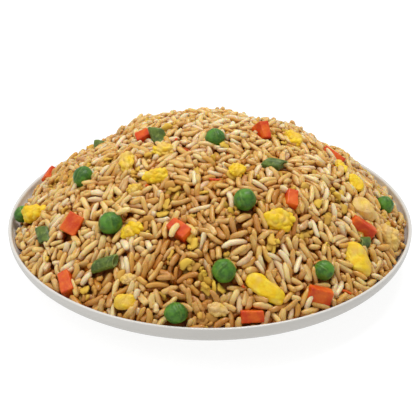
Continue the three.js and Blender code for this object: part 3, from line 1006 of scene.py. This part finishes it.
def laySet(grain, first, second, tint):  # one grain from one end's place to the other's
    run = second - first
    n = standOut["tries"]
    x = (first[0] + second[0]) / 2 + draw.normal(size=n) * 0.3
    y = (first[1] + second[1]) / 2 + draw.normal(size=n) * 0.3
    turn = math.atan2(run[1], run[0]) + draw.normal(size=n) * 0.08
    pitch = draw.normal(size=n) * 0.12
    roll = draw.normal(size=n) * 0.6
    stretch = np.full(n, np.clip(np.linalg.norm(run) / grain.length, 0.75, 1.3))
    lie = settle(grain, x, y, turn, pitch, roll, stretch)
    k = int(lie["gap"].argmin())
    putDown(grain, lie, k, tint, standOut["brown"])
    hold(lie, k)


def layCrumbs(right, down, wide, high, browned):
    for k in range(max(crumbs["least"], round(wide * high / crumbs["each"]))):
        far, way = math.sqrt(draw.random()) / 2, draw.random() * 2 * math.pi
        spot = heapPoint(right + wide * far * math.cos(way), down + high * far * math.sin(way))
        grain = grains["flake" if draw.random() < crumbs["flakes"] else "crumb"]
        x = spot[0] + draw.normal(size=crumbs["tries"]) * 0.4
        y = spot[1] + draw.normal(size=crumbs["tries"]) * 0.4
        lie = tryLies(grain, x, y)
        best = int((lie["gap"] + lie["mean"] + lie["over"]).argmin())
        if lie["most"][best] <= crumbs["highest"]:
            tint = float(np.clip(browned + 0.3 * draw.normal(), 0, 1))
            putDown(grain, lie, best, tint, browned * draw.random())


deepCount = fillTo(rice["mix"], *rice["layers"]["deep"])
for group in crumbs["groups"]:
    layCrumbs(*group)
for name, tint, first, second in standOut["grains"]:
    laySet(grains[name], heapPoint(*first), heapPoint(*second), tint)
topCount = fillTo({**rice["mix"], **rice["bits"]}, *rice["layers"]["top"])
gapCount = fillTo(rice["gaps"], *rice["layers"]["gaps"])
print("grains laid:", deepCount, "deep,", topCount, "on top,", gapCount, "in gaps")


def joinGrains(grain, lies, name):
    n, size = len(lies), len(grain.places)
    places = np.vstack([grain.places @ axes + spot for axes, spot, tone in lies])
    loops = (grain.loops[None, :] + size * np.arange(n)[:, None]).ravel()
    sizes = np.tile(grain.sizes, n)
    mesh = bpy.data.meshes.new(name)
    mesh.vertices.add(len(places))
    mesh.vertices.foreach_set("co", (places * mm).astype(np.float32).ravel())
    mesh.loops.add(len(loops))
    mesh.loops.foreach_set("vertex_index", loops.astype(np.int32))
    mesh.polygons.add(len(sizes))
    mesh.polygons.foreach_set("loop_start", np.concatenate([[0], np.cumsum(sizes)[:-1]]).astype(np.int32))
    mesh.update(calc_edges=True)
    across = int(math.ceil(math.sqrt(n)))
    cell = np.column_stack([np.arange(n) % across, np.arange(n) // across]).astype(float)
    uv = (cell[:, None, :] + 0.05 + 0.9 * grain.uv[None, :, :]) / across
    mesh.uv_layers.new(name="OFBake").data.foreach_set("uv", uv.astype(np.float32).ravel())
    tones = np.ones((n, size, 4), np.float32)
    tones[:, :, :2] = np.array([tone for axes, spot, tone in lies])[:, None, :]
    rows, cols = cellOf(places[:, 1]), cellOf(places[:, 0])
    # the blue channel is painted shade, with some soaked-in sauce: darker the further a point lies under the
    # outline
    sunk = (outline[rows, cols] - places[:, 2]) / steepness[rows, cols]
    tones[:, :, 2] = np.clip((sunk + rice["proud"]) / rice["soakAndShadeDepth"], 0, 1).reshape(n, size)
    tones[:, :, 3] = grain.along[None, :]
    mesh.color_attributes.new("tone", "FLOAT_COLOR", "POINT").data.foreach_set("color", tones.ravel())
    piece = bpy.data.objects.new(name, mesh)
    bpy.context.collection.objects.link(piece)
    only(piece)
    bpy.ops.object.shade_smooth()
    return piece


riceColours = {
    "white": "F4E3B6",
    "pale": "EFD58F",
    "tan": "DCAC52",
    "brown": "B87422",
    # tip: painted shade at each grain's rounded ends
    "tip": "B98345",
    # deep: painted shade, with some soaked-in sauce, for grains sunk under the outline
    "deep": "B46408",
}


def grainFinish():
    grain = Finish("riceGrain", IOR=1.4)
    grain.letLightIn(0.65, 1.3, (1.0, 0.55, 0.18))
    tone = grain.attribute("tone")
    parts = grain.node("ShaderNodeSeparateColor", {}, {"Color": tone})
    tint, brown, deep, along = parts, parts.out("Green"), parts.out("Blue"), tone.out("Alpha")
    blotch = grain.noise(2.6, 3)
    notWhite = grain.between(tint, 0, 0.14)
    colour = grain.blend(notWhite, paint(riceColours["white"]), paint(riceColours["pale"]))
    colour = grain.blend(grain.between(tint + 0.9 * blotch, 0.45, 1.15), colour, paint(riceColours["tan"]))
    soy = grain.between(brown + 0.5 * grain.noise(2.2, 2), 0.35, 0.95)
    colour = grain.blend(soy * 0.8, colour, paint(riceColours["brown"]))
    # painted shade: each grain darker towards its ends
    tip = grain.between(abs(along - 0.5), 0.32, 0.5)
    colour = grain.blend(tip * 0.35, colour, paint(riceColours["tip"]))
    # painted shade, with some soaked-in sauce: grains darker the further they lie under the outline
    colour = grain.blend(deep, colour, paint(riceColours["deep"]))
    rough = 0.15 + 0.17 * grain.noise(1.6, 2)
    return grain.wear(Base_Color=colour, Roughness=rough, Normal=grain.bump(grain.noise(0.9, 2), 0.1, 0.7))


# deep is painted shade for crumbs sunk under the outline
crumbColours = {"fresh": "EFC646", "fried": "D9A04A", "brown": "B06A20", "deep": "6F4216"}
speckColours = {"dark": "4E2A10", "light": "8A5220"}


def crumbFinish():
    bit = Finish("eggCrumb", IOR=1.4)
    tint = bit.node("ShaderNodeSeparateColor", {}, {"Color": bit.attribute("tone")})
    fried = bit.between(tint, 0.1, 0.9)
    colour = bit.blend(fried, paint(crumbColours["fresh"]), paint(crumbColours["fried"]))
    colour = bit.blend(tint.out("Green") * 0.5, colour, paint(crumbColours["brown"]))
    # painted shade: the tone's blue channel darkens crumbs that lie under the outline
    colour = bit.blend(tint.out("Blue") * 0.7, colour, paint(crumbColours["deep"]))
    rough = 0.42 + 0.2 * bit.noise(1.2, 2)
    return bit.wear(Base_Color=colour, Roughness=rough, Normal=bit.bump(bit.noise(0.6, 2), 0.1, 0.7))


def speckFinish():
    bit = Finish("brownedSpeck", Roughness=0.55)
    colour = bit.blend(bit.noise(0.6, 2), paint(speckColours["dark"]), paint(speckColours["light"]))
    return bit.wear(Base_Color=colour, Normal=bit.bump(bit.noise(0.5, 2), 0.08, 0.6))


finishes = {"rice": grainFinish(), "egg": crumbFinish(), "speck": speckFinish(), "carrot": kinds["carrot"][1]}
for name, lies in laid.items():
    form = grainForms[name]
    stuff = form.get("stuff", "rice")
    piece = joinGrains(grains[name], lies, f"{stuff}_{name}")
    slot = "rice" if stuff == "speck" else stuff
    dress(piece, finishes[stuff], slot)
    print(piece.name, len(lies))


# floor, light and camera
stageLook = {
    "floor": "909090",
    "floorMottle": "8C8C8B",
    "floorShine": 0.82,
    "seen": "FFFFFF",  # how bright the floor's own light looks to the camera
    "unseen": "C6C6C6",  # and to everything else
    "key": {"place": (0.16, 0.22, 1.15), "size": 0.5, "watts": 6.8},
    "fill": {"place": (-0.7, -0.3, 0.9), "size": 0.8, "watts": 3.2},
    "sky": 0.55,
}
bpy.ops.mesh.primitive_plane_add(size=6, location=(0, 0, -0.0002))
floor = bpy.context.object
floor.name = "floor"
pale = Finish("paleFloor", **{"Roughness": 0.9, "Emission Strength": stageLook["floorShine"]})
mottle = pale.blend(pale.noise(60, 2), paint(stageLook["floor"]), paint(stageLook["floorMottle"]))
isSeen = pale.node("ShaderNodeLightPath", {}, {})  # 1 for what the camera sees
glow = pale.blend(isSeen, paint(stageLook["unseen"]), paint(stageLook["seen"]))
floor.data.materials.append(pale.wear(Base_Color=mottle, Emission_Color=glow))

for name in ("key", "fill"):
    look = stageLook[name]
    bpy.ops.object.light_add(type="AREA", location=look["place"])
    light = bpy.context.object
    light.name = name + "Light"
    light.data.size = look["size"]
    light.data.energy = look["watts"]
    light.rotation_euler = (Vector((0, 0, 0.03)) - Vector(look["place"])).to_track_quat("-Z", "Y").to_euler()

world = bpy.data.worlds.new("studio")
world.use_nodes = True
world.node_tree.nodes["Background"].inputs["Color"].default_value = (1, 1, 1, 1)
world.node_tree.nodes["Background"].inputs["Strength"].default_value = stageLook["sky"]
bpy.context.scene.world = world
bpy.context.scene.view_settings.view_transform = "Standard"

bpy.ops.object.camera_add(
    location=(0, -eyeBack * mm, (eyeUp + view["rim"]) * mm),
    rotation=(math.pi / 2 - math.radians(view["elevation"]), 0, 0),
)
camera = bpy.context.object
camera.data.sensor_width = 36
camera.data.lens = view["focal"] / view["frame"] * 36
camera.data.shift_y = view["down"] / view["frame"]
bpy.context.scene.camera = camera
